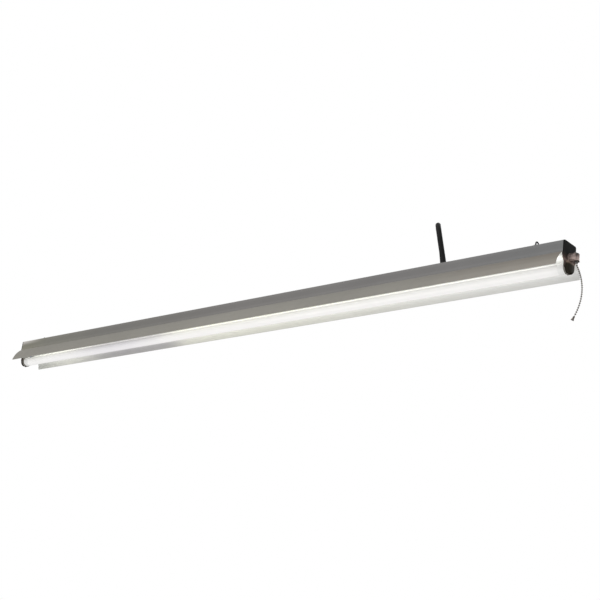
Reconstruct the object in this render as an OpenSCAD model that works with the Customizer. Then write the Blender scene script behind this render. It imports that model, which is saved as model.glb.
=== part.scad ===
// Slim hanging shop light for one thin fluorescent lamp.
// A folded steel channel carries the ballast, a white reflector with curved
// wings is screwed under it, and the lamp hangs between two twist lampholders
// that sit in notches of the end plates. A pull chain switch is on the right
// end plate, two hinged eyes are on top, and the supply cord leaves the top.
//
// X runs along the light, +X to the end with the pull chain. Y runs across,
// +Z is up. The origin is in the middle of the housing's top face.

/* [Lamp] */
// Distance between the two base faces of the lamp
lamp_len = 1149; // [849:300:1449]
// Diameter of the glass tube
lamp_d = 15.8; // [15:0.1:17]
// Distance between the two pins of a lamp base
pin_gap = 4.75; // [4.5:0.05:5]
// Diameter of a lamp pin
pin_d = 2.35; // [2.2:0.05:2.4]
// Height of the lamp's axis below the top face
lamp_drop = 36; // [35.5:0.1:36.5]

/* [Housing] */
// Width of the folded channel
body_w = 31.2; // [31:0.1:32]
// Height of the channel's side walls
body_h = 17.9; // [17.8:0.1:18.4]
// Thickness of the channel's sheet
sheet_t = 0.8; // [0.6:0.1:0.8]
// Outer radius of the channel's two folds
fold_r = 2.6; // [2:0.1:3]
// Width of the small foot turned out along each wall
foot_w = 1.1; // [0.8:0.1:1.2]
// Distance between the two mounting holes
hole_gap = 960; // [600:20:960]

/* [Reflector] */
// Outer radius of the curved wings
wing_r = 42.3; // [42:0.1:42.6]
// Height of the light from the top face to the wing's edge
total_h = 41.25; // [41:0.05:42]
// Width of the doubled hem inside the wing's edge
hem_w = 3.8; // [3:0.1:5]

/* [Switch and chain] */
// Height of the switch's axis below the top face
switch_drop = 21.8; // [21.6:0.1:21.9]
// Distance from the middle of one bead to the next
bead_gap = 3.1; // [3:0.05:3.3]
// Diameter of a bead
bead_d = 2.4; // [2.2:0.1:2.4]

/* [Hanging eyes] */
// Distance from the end of the channel to each eye
eye_in = 50; // [46:1:60]
// Diameter of the eye's wire
eye_wire = 2; // [1.8:0.1:2.2]

/* [Supply cord] */
// Diameter of the cord
cord_d = 8; // [7:0.25:8]
// Distance from the end of the channel to the cord's outlet
cord_in = 203; // [200:1:210]
// Lean of the cord where it leaves the top, in degrees
cord_lean = 14.5; // [10:0.5:16]

/* [Hidden] */
$fn = 48;

hb = lamp_len / 2 + 2.5;      // half the channel's length
pt = 1.5;                     // end plate thickness
hx = hb + pt;                 // outer face of the end plates
t = sheet_t;
lz = -lamp_drop;              // lamp axis
sz = -switch_drop;            // switch axis
foot = body_w / 2 + foot_w;
rt = 0.8;                     // reflector sheet thickness
floor_z = -body_h - rt;       // underside of the reflector's flat
wing_y = -9;                  // centre of the wing's arc, on the other side
wing_z = -51.5;
edge_z = -total_h + rt;       // middle of the rolled edge
ex = hb - eye_in;             // X of the hanging eyes
ez = 2.3;                     // height of the eye's hinge pin
cx = hb - cord_in;            // X of the cord's outlet
bracket_x = [-400, 0, 330];
ballast_x = 175;              // middle of the ballast
gx = 350;                     // ground screw

// Points of a smooth curve through the points P, n to each span
function cr(a, b, c, d, s) = 0.5 * (2 * b + (c - a) * s + (2 * a - 5 * b + 4 * c - d) * s * s + (3 * b - a - 3 * c + d) * s * s * s);
function smooth(P, n) = [for (i = [0:len(P) - 2]) for (k = [0:n - 1]) cr(P[max(i - 1, 0)], P[i], P[i + 1], P[min(i + 2, len(P) - 1)], k / n), P[len(P) - 1]];
function unit(v) = v / norm(v);
function tangent(P, i) = unit(P[min(i + 1, len(P) - 1)] - P[max(i - 1, 0)]);

// A round tube along the points P; ref is a direction that the path never takes
module tube(P, r, n, ref) {
    m = len(P);
    pts = [for (i = [0:m - 1]) let (d = tangent(P, i), u = unit(cross(ref, d)), v = cross(d, u))
        for (j = [0:n - 1]) P[i] + r * (cos(360 * j / n) * u + sin(360 * j / n) * v)];
    sides = [for (i = [0:m - 2]) for (j = [0:n - 1])
        [i * n + j, (i + 1) * n + j, (i + 1) * n + (j + 1) % n, i * n + (j + 1) % n]];
    polyhedron(points = pts, faces = concat([[for (j = [0:n - 1]) j]], [[for (j = [n - 1:-1:0]) (m - 1) * n + j]], sides), convexity = 8);
}

// Extrudes a Y-Z outline along X from x0 to x1
module along(x0, x1) { translate([x0, 0, 0]) rotate([90, 0, 90]) linear_extrude(x1 - x0) children(); }
// A cylinder along X
module xcyl(x0, x1, r, y = 0, z = 0) { translate([x0, y, z]) rotate([0, 90, 0]) cylinder(h = x1 - x0, r = r); }
// A cylinder along Y
module ycyl(y0, y1, r, x = 0, z = 0) { translate([x, y1, z]) rotate([90, 0, 0]) cylinder(h = y1 - y0, r = r); }
module both_ends() { children(); mirror([1, 0, 0]) children(); }

// ---- housing ----
module channel_outline(w, h, r) {
    translate([-w / 2, -h]) square([w, h - r]);
    translate([-w / 2 + r, -h]) square([w - 2 * r, h]);
    for (s = [-1, 1]) translate([s * (w / 2 - r), -r]) circle(r);
}

module housing() {
    color([0.45, 0.46, 0.46])
    difference() {
        along(-hb, hb) {
            difference() {
                channel_outline(body_w, body_h, fold_r);
                translate([0, -t]) channel_outline(body_w - 2 * t, body_h, fold_r - t);
            }
            for (s = [-1, 1]) translate([s > 0 ? body_w / 2 - t : -foot, -body_h]) square([foot_w + t, t]);
        }
        for (x = [-hole_gap / 2, hole_gap / 2]) translate([x, 0, -3]) cylinder(h = 6, r = 2.6);
        for (x = bracket_x) for (y = [-6, 6]) translate([x, y, -3]) cylinder(h = 6, r = 1.6);
        for (x = [-ex - 12, -ex + 12, ex - 12, ex + 12]) translate([x, 0, -3]) cylinder(h = 6, r = 1.6);
        for (x = [-hb + 7, hb - 7]) translate([x, 0, -3]) cylinder(h = 6, r = 1.7);
        for (x = [ballast_x - 121, ballast_x + 121]) translate([x, 0, -3]) cylinder(h = 6, r = 1.7);
        translate([cx, 0, -3]) cylinder(h = 6, r = 5.8);
        translate([gx, 0, -3]) cylinder(h = 6, r = 1.6);
    }
}

// ---- reflector ----
module wing_arc(r0, r1, z0, z1) {
    intersection() {
        translate([wing_y, wing_z]) difference() { circle(r1, $fn = 96); circle(r0, $fn = 96); }
        translate([0, z0]) square([60, z1 - z0]);
    }
}

// Half width of the flat, where a wing's sheet is taken to begin
flat_y = 15.3;
module reflector_flat() {
    color([0.93, 0.94, 0.93])
    difference() {
        along(-hb, hb) translate([-flat_y, floor_z]) square([2 * flat_y, rt]);
        for (s = [-1, 1]) translate([s > 0 ? hb - 4.8 : -hb - 1, -8.5, floor_z - 1]) cube([5.8, 17, rt + 2]);
        translate([hb - 11, -2.4, floor_z - 1]) cube([8, 4.8, rt + 2]);
        for (x = bracket_x) translate([x, 0, floor_z - 1]) cylinder(h = 4, r = 1.6);
    }
}
// A curved wing, rolled at its lower edge into a flat hem on the inside
module wing_outline() {
    edge_y = wing_y + sqrt((wing_r - rt) * (wing_r - rt) - (edge_z - wing_z) * (edge_z - wing_z));
    translate([flat_y, floor_z]) square([0.7, rt]);
    wing_arc(wing_r - rt, wing_r, edge_z, -body_h);
    wing_arc(wing_r - 2 * rt, wing_r - rt, edge_z, edge_z + hem_w);
    translate([edge_y, edge_z]) circle(rt);
}
module reflector_wing_back() { color([0.93, 0.94, 0.93]) along(-hb, hb) wing_outline(); }
module reflector_wing_front() { color([0.93, 0.94, 0.93]) along(-hb, hb) mirror([1, 0]) wing_outline(); }

// ---- end plates ----
module plate_outline() {
    difference() {
        union() {
            channel_outline(body_w, 17, fold_r);
            polygon([[-15.6, -16], [-15.6, -17], [-17.3, -18.9], [-17.3, -21.5], [-15.4, -25.8], [-12, -30.8], [-11.6, -36],
                [11.6, -36], [12, -30.8], [15.4, -25.8], [17.3, -21.5], [17.3, -18.9], [15.6, -17], [15.6, -16]]);
            for (s = [-1, 1]) translate([s * 9.95, lz]) circle(1.65);
            for (s = [-1, 1]) translate([s > 0 ? 8.3 : -11.6, lz - 0.5]) square([3.3, 1]);
        }
        translate([-8.3, lz - 6]) square([16.6, lamp_drop - 28.7 + 6]);
    }
}

// One end plate; the bent tab at its top goes under the housing's top
module end_plate(hole) {
    color([0.09, 0.09, 0.08])
    difference() {
        union() {
            along(hb, hx) plate_outline();
            difference() {
                translate([hb - 12, -9, -t - 1]) cube([12, 18, 1]);
                translate([hb - 7, 0, -4]) cylinder(h = 6, r = 1.5);
            }
        }
        if (hole) xcyl(hb - 1, hx + 1, 4, 0, sz);
    }
}
module end_plate_right() { end_plate(true); }
module end_plate_left() { mirror([1, 0, 0]) end_plate(false); }

// Pan head screw, head down on +Z, the shank below the head
module pan_screw(r, head_r, head_h, len) {
    rotate_extrude() polygon([[0, head_h], [head_r * 0.55, head_h], [head_r * 0.9, head_h * 0.6], [head_r, 0.3], [head_r, 0], [r, 0], [r, -len], [0, -len - r * 0.5]]);
}
module cross_recess(w, d) { for (a = [0, 90]) rotate([0, 0, a]) translate([-w / 2, -0.35, -d]) cube([w, 0.7, d + 2]); }

module end_plate_screws() {
    color([0.6, 0.6, 0.6])
    both_ends() translate([hb - 7, 0, 0]) difference() { pan_screw(1.5, 2.8, 1.7, 3.8); translate([0, 0, 1.7]) cross_recess(3, 0.9); }
}

// ---- cross brackets between housing and reflector ----
module bridge_brackets() {
    color([0.7, 0.7, 0.68])
    for (x = bracket_x) difference() {
        translate([x - 6, -13, -body_h]) cube([12, 26, body_h - t]);
        translate([x - 7, -12, -body_h + 1]) cube([14, 24, body_h - t - 2]);
        for (y = [-6, 6]) translate([x, y, -4]) cylinder(h = 6, r = 1.6);
        translate([x, 0, -body_h - 1]) cylinder(h = 4, r = 1.5);
    }
}
module reflector_screws() {
    color([0.75, 0.75, 0.74])
    for (x = bracket_x) translate([x, 0, floor_z]) mirror([0, 0, 1]) difference() { pan_screw(1.5, 2.8, 1.7, 3.6); translate([0, 0, 1.7]) cross_recess(3, 0.9); }
}
// Domed head and tail of a blind rivet through the sheet
module rivet(r, head_r, down) {
    rotate_extrude() polygon([[0.5, 0.9], [head_r * 0.5, 0.85], [head_r * 0.85, 0.5], [head_r, 0], [r, 0], [r, -down], [0.5, -down]]);
}
module bracket_rivets() {
    color([0.75, 0.75, 0.75])
    for (x = bracket_x) for (y = [-6, 6]) translate([x, y, 0]) rivet(1.6, 2.8, t + 1);
}

// ---- ballast ----
bl = 230;
module ballast_base() {
    color([0.72, 0.73, 0.72])
    difference() {
        translate([ballast_x - bl / 2 - 12, -12.9, -t - 0.8]) cube([bl + 24, 25.8, 0.8]);
        for (s = [-1, 1]) translate([ballast_x + s * 121, 0, -4]) cylinder(h = 6, r = 1.5);
    }
}
module ballast_cover() {
    color([0.86, 0.86, 0.84])
    difference() {
        translate([ballast_x - bl / 2, -14, -16.4]) cube([bl, 28, 14.8]);
        translate([ballast_x - bl / 2 + 0.5, -13.5, -15.9]) cube([bl - 1, 27, 15]);
        for (s = [-1, 1]) translate([ballast_x + s * bl / 2 - 2, -9.4, -14.6]) cube([4, 18.8, 4.2]);
    }
}
module ballast_board() {
    color([0.12, 0.35, 0.18])
    union() {
        translate([ballast_x - 110, -12, -5.6]) cube([220, 24, 1.6]);
        for (x = [-90, 60]) translate([ballast_x + x, -7, -14.6]) cube([22, 14, 9.2]);
        for (x = [-52, -38, 20]) translate([ballast_x + x, 3, -14.4]) cylinder(h = 9, r = 4.5);
        for (x = [-20, 0, 40]) translate([ballast_x + x, -9, -12]) cube([10, 5, 6.6]);
        for (x = [-98, 92]) for (y = [-10, -4, 2, 8]) translate([ballast_x + x, y, -10]) cube([4, 2, 4.6]);
    }
}
module ballast_terminals() {
    color([0.92, 0.92, 0.88])
    for (s = [-1, 1]) difference() {
        translate([ballast_x + s * (bl / 2 + 5) - 5, -10, -14.8]) cube([10, 20, 8.4]);
        for (y = [-9, -6.8, 6.8, 9]) xcyl(ballast_x + s * (bl / 2 + 5) - 8, ballast_x + s * (bl / 2 + 5) + 8, 0.85, y == 9 ? 8.6 : y == -9 ? -8.6 : y > 0 ? 5 : -5, -12.5);
    }
}
module ballast_screws() {
    color([0.6, 0.6, 0.6])
    for (s = [-1, 1]) translate([ballast_x + s * 121, 0, 0]) difference() { pan_screw(1.5, 2.8, 1.7, 2.6); translate([0, 0, 1.7]) cross_recess(3, 0.9); }
}

// ---- lampholders ----
module holder_outline(w, top) {
    intersection() {
        union() { translate([0, lz]) circle(w); translate([-w, lz]) square([2 * w, 12]); }
        translate([-w, lz - w]) square([2 * w, top - lz + w]);
    }
}
module lampholder_right() {
    color([0.13, 0.1, 0.08])
    difference() {
        union() {
            along(lamp_len / 2 + 0.2, hb - 0.1) holder_outline(9.2, -28.4);
            along(hb - 0.1, hx + 0.1) holder_outline(8.2, -28.8);
            along(hx + 0.1, hx + 3) holder_outline(9.2, -28.4);
            intersection() {
                union() {
                    translate([hx + 3, 0, lz]) rotate([0, 90, 0]) cylinder(h = 1.1, r1 = 9.2, r2 = 8.1);
                    translate([hx + 3, -8.2, lz]) cube([1.1, 16.4, 8]);
                }
                translate([hx + 2, -10, lz - 12]) cube([4, 20, 19.6]);
            }
        }
        xcyl(lamp_len / 2, hx + 3.4, 6.1, 0, lz);
        translate([lamp_len / 2, -1.5, lz - 12]) cube([hx + 3.4 - lamp_len / 2, 3, 12]);
        translate([lamp_len / 2, -1.5, lz - 12]) cube([12, 3, 5.2]);
        for (s = [-1, 1]) {
            translate([lamp_len / 2 + 0.6, s > 0 ? 6.5 : -7.3, lz - 4]) cube([5.4, 0.8, 9]);
            translate([lamp_len / 2 + 1.3, s * 6.9, -32]) cylinder(h = 5, r = 0.75);
        }
    }
}
module lampholder_left() { mirror([1, 0, 0]) lampholder_right(); }
module lampholder_contacts() {
    color([0.78, 0.6, 0.3])
    both_ends() for (s = [-1, 1]) translate([lamp_len / 2 + 0.9, s > 0 ? 6.6 : -7.1, lz - 3.6]) cube([4.8, 0.5, 8.2]);
}
module rotor_right() {
    color([0.9, 0.89, 0.85])
    difference() {
        xcyl(lamp_len / 2 + 0.4, hx + 3.3, 6.04, 0, lz);
        translate([lamp_len / 2, -7, lz - 1.4]) cube([hx + 2.8 - lamp_len / 2, 14, 2.8]);
    }
}
module rotor_left() { mirror([1, 0, 0]) rotor_right(); }

// ---- lamp ----
module lamp_tube() {
    r = lamp_d / 2; e = lamp_len / 2 - 10;
    color([0.97, 0.97, 1])
    translate([0, 0, lz]) rotate([0, 90, 0]) rotate_extrude()
        polygon([[r - 0.8, -e + 2], [r - 1.3, -e], [r - 1.3, -e - 8.4], [r - 0.6, -e - 8.4], [r - 0.6, -e], [r, -e + 1.4],
            [r, e - 1.4], [r - 0.6, e], [r - 0.6, e + 8.4], [r - 1.3, e + 8.4], [r - 1.3, e], [r - 0.8, e - 2]]);
}
module lamp_caps() {
    e = lamp_len / 2;
    color([0.8, 0.8, 0.8])
    both_ends() difference() {
        translate([e, 0, lz]) rotate([0, -90, 0]) rotate_extrude()
            polygon([[0, 0], [7.6, 0], [8, 0.5], [8, 3.4], [7.85, 3.7], [8, 4], [8, 9.6], [7.3, 9.6], [7.3, 1.2], [0, 1.2]]);
        for (s = [-1, 1]) xcyl(e - 3, e + 1, pin_d / 2, s * pin_gap / 2, lz);
    }
}
module lamp_pins() {
    e = lamp_len / 2;
    color([0.8, 0.7, 0.45])
    both_ends() for (s = [-1, 1]) {
        xcyl(e - 4.5, e + 6.2, pin_d / 2, s * pin_gap / 2, lz);
        translate([e + 6.2, s * pin_gap / 2, lz]) rotate([0, 90, 0]) cylinder(h = 0.4, r1 = pin_d / 2, r2 = pin_d / 2 - 0.35);
    }
}
// Glass stem with the coiled electrode's two posts, inside each end of the tube
module lamp_stems() {
    e = lamp_len / 2;
    color([0.75, 0.75, 0.72])
    both_ends() {
        translate([e - 10, 0, lz]) rotate([0, -90, 0]) cylinder(h = 14, r1 = 4.6, r2 = 2.3);
        xcyl(e - 11, e - 10, 6.4, 0, lz);
        for (s = [-1, 1]) xcyl(e - 36, e - 20, 0.4, s * 1.2, lz);
        ycyl(-2, 2, 0.7, e - 36, lz);
    }
}

// ---- pull chain switch ----
bx = hx + 1.8;                // inner end of the barrel
kx = hx + 8.9;                // where the cap begins
dx = hx + 7.2;                // drum axis
vx = hx + 11.8;               // chain's line
mouth_z = sz - 7.4;           // lower end of the spout
module switch_barrel() {
    color([0.74, 0.68, 0.65])
    difference() {
        union() { xcyl(bx, kx, 6.1, 0, sz); xcyl(hb - 3.2, bx, 3.9, 0, sz); }
        xcyl(bx + 1, kx + 1, 5.5, 0, sz);
        xcyl(hb - 4, bx + 2, 2.2, 0, sz);
    }
}
module switch_ring_nut() {
    color([0.7, 0.66, 0.62])
    difference() {
        xcyl(hx, bx, 6.5, 0, sz);
        xcyl(hx - 1, bx + 1, 3.95, 0, sz);
        for (i = [0:35]) translate([0, 0, sz]) rotate([10 * i, 0, 0]) translate([hx - 1, -0.18, 6.25]) cube([4, 0.36, 1]);
    }
}
module switch_lock_nut() {
    color([0.7, 0.7, 0.68])
    difference() {
        translate([hb - 2.2, 0, sz]) rotate([0, 90, 0]) cylinder(h = 2.2, r = 5.2, $fn = 6);
        xcyl(hb - 3, hb + 1, 3.95, 0, sz);
    }
}
// Cap of the barrel, with the spout that leads the chain down
module switch_cap() {
    color([0.74, 0.68, 0.65])
    difference() {
        union() {
            translate([kx, 0, sz]) rotate([0, 90, 0]) rotate_extrude() polygon([[0, 0], [6.1, 0], [6.5, 0.3], [6.5, 1.1], [6.1, 1.5], [6, 2.4], [5.4, 3.1], [0, 3.3]]);
            translate([vx, 0, mouth_z]) cylinder(h = sz + 2.4 - mouth_z, r = 2.9);
            translate([vx, 0, sz + 2.4]) sphere(2.9);
            translate([vx, 0, mouth_z]) cylinder(h = 1, r1 = 3.4, r2 = 2.9);
        }
        translate([vx, 0, mouth_z - 1]) cylinder(h = 11, r = 1.75);
        translate([vx, 0, mouth_z - 0.01]) cylinder(h = 0.9, r1 = 2.6, r2 = 1.75);
        xcyl(kx - 1, kx + 1.6, 4.9, 0, sz);
        translate([kx, -1.6, sz - 3.4]) cube([vx - kx, 3.2, 5]);
    }
}
module switch_core() {
    color([0.2, 0.19, 0.18])
    difference() {
        union() {
            xcyl(bx + 1, bx + 2, 5.4, 0, sz);
            for (s = [-1, 1]) translate([bx + 1.5, s > 0 ? 2.7 : -3.7, sz - 1.8]) cube([kx - bx - 1.8, 1, 3.6]);
        }
        ycyl(-5, 5, 0.85, dx, sz);
        for (s = [-1, 1]) xcyl(bx, bx + 3, 0.75, s * 1.1, sz);
    }
}
module switch_drum() {
    color([0.85, 0.84, 0.8])
    difference() {
        union() {
            ycyl(-2.3, -1.3, 3.1, dx, sz);
            ycyl(1.3, 2.3, 3.1, dx, sz);
            ycyl(-1.4, 1.4, 2.2, dx, sz);
            ycyl(-3.6, 3.6, 0.8, dx, sz);
        }
        for (a = [30, 150, 270]) translate([dx, 0, sz]) rotate([0, a, 0]) translate([2.6, -4, -0.3]) cube([2, 8, 0.6]);
    }
}

// ---- pull chain: an arc of beads below the spout, hanging at rest ----
chain_n = 24;
hinge1_z = mouth_z - 0.6;
// The chain's line: out from the light by up to 9.5 mm, then back towards it
function chain_x(d) = vx + 0.47 * d - 11 * pow(d / 43, 2.2);
first_z = hinge1_z - 1.6;     // the single bead
arc_z = first_z - bead_gap;   // first bead of the arc
// The point of the chain's line at index i, by stepping down the line one bead at a time
function step_z(d) = let (g = (chain_x(d + 1.5) - chain_x(d + 1.4)) / 0.1) bead_gap / sqrt(1 + g * g);
function depths(n, d = 0) = n == 0 ? [d] : concat([d], depths(n - 1, d + step_z(d)));
chain_d = depths(chain_n);
function bead_at(i) = [chain_x(chain_d[i]), 0, arc_z - chain_d[i]];
module link(a, b, r) { translate(a) rotate([0, acos(unit(b - a)[2]) * (b[0] >= a[0] ? 1 : -1), 0]) cylinder(h = norm(b - a), r = r, $fn = 14); }

module chain_top() {
    color([0.6, 0.58, 0.56]) {
        for (i = [0:2]) translate([vx, 0, hinge1_z + 1.5 + i * bead_gap]) sphere(bead_d / 2, $fn = 24);
        translate([vx, 0, hinge1_z + 0.1]) cylinder(h = 2 * bead_gap + 1.4, r = 0.45, $fn = 16);
    }
}
module chain_bead() {
    color([0.6, 0.58, 0.56]) {
        translate([vx, 0, first_z]) sphere(bead_d / 2, $fn = 24);
        translate([vx, 0, first_z - 1.55]) cylinder(h = 1.5, r = 0.45, $fn = 16);
    }
}
module pull_chain() {
    color([0.6, 0.58, 0.56])
    for (i = [0:chain_n - 1]) {
        translate(bead_at(i)) sphere(bead_d / 2, $fn = 20);
        link(bead_at(i), bead_at(i + 1), 0.45);
    }
}
// Small bell that closes the chain's lower end
module chain_bell() {
    p = bead_at(chain_n); q = bead_at(chain_n - 1);
    color([0.62, 0.6, 0.57])
    translate(p) rotate([0, atan2(q[0] - p[0], q[2] - p[2]), 0])
        rotate_extrude() polygon([[0.45, 0.3], [1.1, 0.1], [1.3, -0.6], [1.35, -2.4], [1.7, -4], [2.2, -5.2], [2.2, -5.8], [1.7, -6.1], [0.45, -6.1]]);
}

// ---- hanging eyes ----
module saddle() {
    difference() {
        translate([-15, -8, 0]) cube([30, 16, 0.8]);
        translate([-4, -5.2, -1]) cube([8, 10.4, 3]);
        for (s = [-1, 1]) translate([s * 12, 0, -1]) cylinder(h = 3, r = 1.6);
    }
    for (s = [-1, 1]) difference() {
        union() {
            translate([-2.4, s > 0 ? 5.2 : -6.4, 0]) cube([4.8, 1.2, ez]);
            ycyl(s > 0 ? 5.2 : -6.4, s > 0 ? 6.4 : -5.2, 2.2, 0, ez);
        }
        ycyl(-8, 8, 1, 0, ez);
        translate([-4, -8, -3]) cube([8, 16, 3]);
    }
}
module eye_saddles() { color([0.1, 0.1, 0.1]) for (s = [-1, 1]) translate([s * ex, 0, 0]) saddle(); }
module eye_pins() {
    color([0.5, 0.5, 0.5])
    for (s = [-1, 1]) { ycyl(-6.4, 6.4, 1, s * ex, ez); for (y = [-7, 6.4]) ycyl(y, y + 0.6, 1.4, s * ex, ez); }
}
module eye_rivets() {
    color([0.6, 0.6, 0.6])
    for (s = [-1, 1]) for (d = [-12, 12]) translate([s * ex + d, 0, 0.8]) rivet(1.6, 2.4, t + 1.8);
}
// The eye stands up from its hinge pin: a barrel with a round-topped wire loop
module eye() {
    w = eye_wire / 2; ri = 2.3; zc = 11.4 - 2 * w - ri;
    difference() {
        union() {
            ycyl(-3.9, 3.9, 1.7, 0, ez);
            intersection() {
                translate([0, 0, zc]) rotate([0, 90, 0]) rotate_extrude() translate([ri + w, 0]) circle(w);
                translate([-5, -8, zc]) cube([10, 16, 8]);
            }
            for (s = [-1, 1]) translate([0, s * (ri + w), ez]) cylinder(h = zc - ez, r = w);
            for (s = [-1, 1]) translate([0, s * (ri + w), ez]) sphere(w);
        }
        ycyl(-9, 9, 1.05, 0, ez);
    }
}
module eye_right() { color([0.08, 0.08, 0.08]) translate([ex, 0, 0]) eye(); }
module eye_left() { color([0.08, 0.08, 0.08]) translate([-ex, 0, 0]) translate([0, 0, ez]) rotate([0, 90, 0]) translate([0, 0, -ez]) eye(); }

// ---- supply cord ----
rc = cord_d / 2;
module strain_relief() {
    color([0.05, 0.05, 0.05])
    difference() {
        union() {
            translate([cx, 0, 0]) cylinder(h = 1.8, r = 7.4);
            translate([cx, 0, -t]) cylinder(h = t, r = 5.8);
            translate([cx, 0, -t - 2.4]) cylinder(h = 2.4, r1 = 5.8, r2 = 6.7);
            translate([cx, 0, 0]) rotate([0, -cord_lean, 0]) translate([0, 0, 1.5]) cylinder(h = 4.5, r1 = 5.8, r2 = 4.8);
        }
        translate([cx, 0, 0]) rotate([0, -cord_lean, 0]) translate([0, 0, -8]) cylinder(h = 40, r = rc);
    }
}
// The cord's route: up with a lean, over in an arch, and down behind the light to the hank
cord_pts = [[1.8, 0, -7], [0, 0, 0], [-2.6, 0, 10], [-5.7, 0, 22], [-9.4, 0, 36], [-13, 0, 50],
    [-18.5, 3, 64], [-26, 11.2, 74], [-34, 22.4, 78], [-40, 33.6, 74], [-42.5, 41.7, 64], [-40.7, 44.7, 50],
    [-34.8, 40.4, 35], [-28.5, 36.3, 19.2], [-18.3, 34.6, 6.4], [-4, 34.4, 2.2]];
hank_x = cx + 4;              // middle of the hank
hank_z = -2;
hank_y0 = 30.3;               // front face of the hank
hank_y1 = 63.1;               // back face
run = 125;                    // straight length of a run
fold = 25.0;                  // outer radius of the end loops
waist = 8.2;                  // half height at the tie
module power_cord() { color([0.06, 0.06, 0.06]) translate([cx, 0, 0]) tube(cord_pts, rc, 10, [0.8, 0.6, 0]); }
// Outline of the tied hank, seen from behind: wide loops and a waist at the tie
function hank_half(x) = let (u = min(1, max(0, (abs(x) - 11) / (run / 2 - 11)))) waist + (fold - waist) * (1 - cos(180 * u)) / 2;
module hank_outline() {
    polygon(concat(
        [for (x = [-run / 2:run / 24:run / 2 + 0.1]) [x, hank_half(x)]],
        [for (a = [75:-15:-75]) [run / 2 + fold * cos(a), fold * sin(a)]],
        [for (x = [run / 2:-run / 24:-run / 2 - 0.1]) [x, -hank_half(x)]],
        [for (a = [-105:-15:-255]) [-run / 2 + fold * cos(a), fold * sin(a)]]));
}
module cord_hank() {
    color([0.06, 0.06, 0.06])
    translate([hank_x, hank_y1, hank_z]) rotate([90, 0, 0]) linear_extrude(hank_y1 - hank_y0) hank_outline();
}
module hank_tie() {
    color([0.1, 0.1, 0.1])
    difference() {
        translate([hank_x - 7, hank_y0 - 1.2, hank_z - waist - 1.2]) cube([14, hank_y1 - hank_y0 + 2.4, 2 * waist + 2.4]);
        translate([hank_x - 8, hank_y0, hank_z - waist]) cube([16, hank_y1 - hank_y0, 2 * waist]);
    }
}
px = hank_x + 105;            // back of the plug
py = 59;
module cord_tail() {
    color([0.06, 0.06, 0.06])
    tube([[hank_x + run / 2 + fold, py, hank_z], [px - 9, py, hank_z], [px + 1.5, py, hank_z]], rc, 10, [0, 0, 1]);
}
module plug_body() {
    color([0.07, 0.07, 0.07])
    difference() {
        union() {
            translate([px, py, hank_z]) rotate([0, 90, 0]) cylinder(h = 16, r1 = 4.8, r2 = 6.4);
            for (i = [0:3]) xcyl(px + 2 + 3.4 * i, px + 3.8 + 3.4 * i, 6 + 0.35 * i, py, hank_z);
            translate([px + 15, py, hank_z]) rotate([0, 90, 0]) cylinder(h = 7, r1 = 8.5, r2 = 12.5);
            xcyl(px + 22, px + 36, 12.5, py, hank_z);
            translate([px + 36, py, hank_z]) rotate([0, 90, 0]) cylinder(h = 1.5, r1 = 12.5, r2 = 11.6);
        }
        translate([px + 14, py - 14, hank_z + 10.6]) cube([30, 28, 4]);
        xcyl(px - 1, px + 1.5, rc + 0.02, py, hank_z);
        for (s = [-1, 1]) translate([px + 30, py + s * 6.35 - 0.75, hank_z + 0.6]) cube([10, 1.5, 6.4]);
        xcyl(px + 30, px + 40, 2.4, py, hank_z - 7.2);
    }
}
module plug_blades() {
    color([0.83, 0.72, 0.42])
    for (s = [-1, 1]) difference() {
        translate([px + 30, py + s * 6.35 - 0.75, hank_z + 0.6]) cube([25.5, 1.5, 6.4]);
        ycyl(py - 10, py + 10, 1.6, px + 50.5, hank_z + 3.8);
    }
}
module plug_ground_pin() {
    color([0.83, 0.72, 0.42]) {
        xcyl(px + 30, px + 56, 2.4, py, hank_z - 7.2);
        translate([px + 56, py, hank_z - 7.2]) sphere(2.4);
    }
}

// ---- wires inside the channel ----
wr = 0.7;
module wire(P, n = 4) { tube(smooth(P, n), wr, 8, [0.05, 1, 0.1]); }
module lamp_leads_left() {
    color([0.2, 0.3, 0.7])
    for (s = [-1, 1]) wire([[ballast_x - bl / 2 - 10, s * 5, -12.5], [ballast_x - bl / 2 - 40, s * 7, -11.5], [-200, s * 8.5, -10], [-440, s * 8, -12], [-hb + 22, s * 7.4, -11], [-hb + 4, s * 7, -15.5], [-hb + 1.2, s * 6.9, -24], [-hb + 1.2, s * 6.9, -28], [-hb + 1.2, s * 6.9, -31.2]], 3);
}
module lamp_leads_right() {
    color([0.75, 0.15, 0.12])
    for (s = [-1, 1]) wire([[ballast_x + bl / 2 + 10, s * 8.6, -12.5], [350, s * 11, -14], [cx + 30, s * 11.5, -14.5], [hb - 24, s * 9, -12], [hb - 5, s * 7.2, -15], [hb - 1.2, s * 6.9, -24], [hb - 1.2, s * 6.9, -28], [hb - 1.2, s * 6.9, -31.2]], 3);
}
module mains_wires() {
    color([0.9, 0.9, 0.9]) {
        wire([[cx + 2.6, 1.6, -7.9], [cx + 1.5, 2.6, -11], [cx - 10, 4.6, -13], [320, 5, -12.5], [ballast_x + bl / 2 + 10, 5, -12.5]], 3);
        wire([[cx + 3.6, -1.2, -7.9], [cx + 7, -1.5, -10], [cx + 16, -1.2, -10.6], [cx + 27.5, -1, -10.5]], 3);
    }
}
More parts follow.
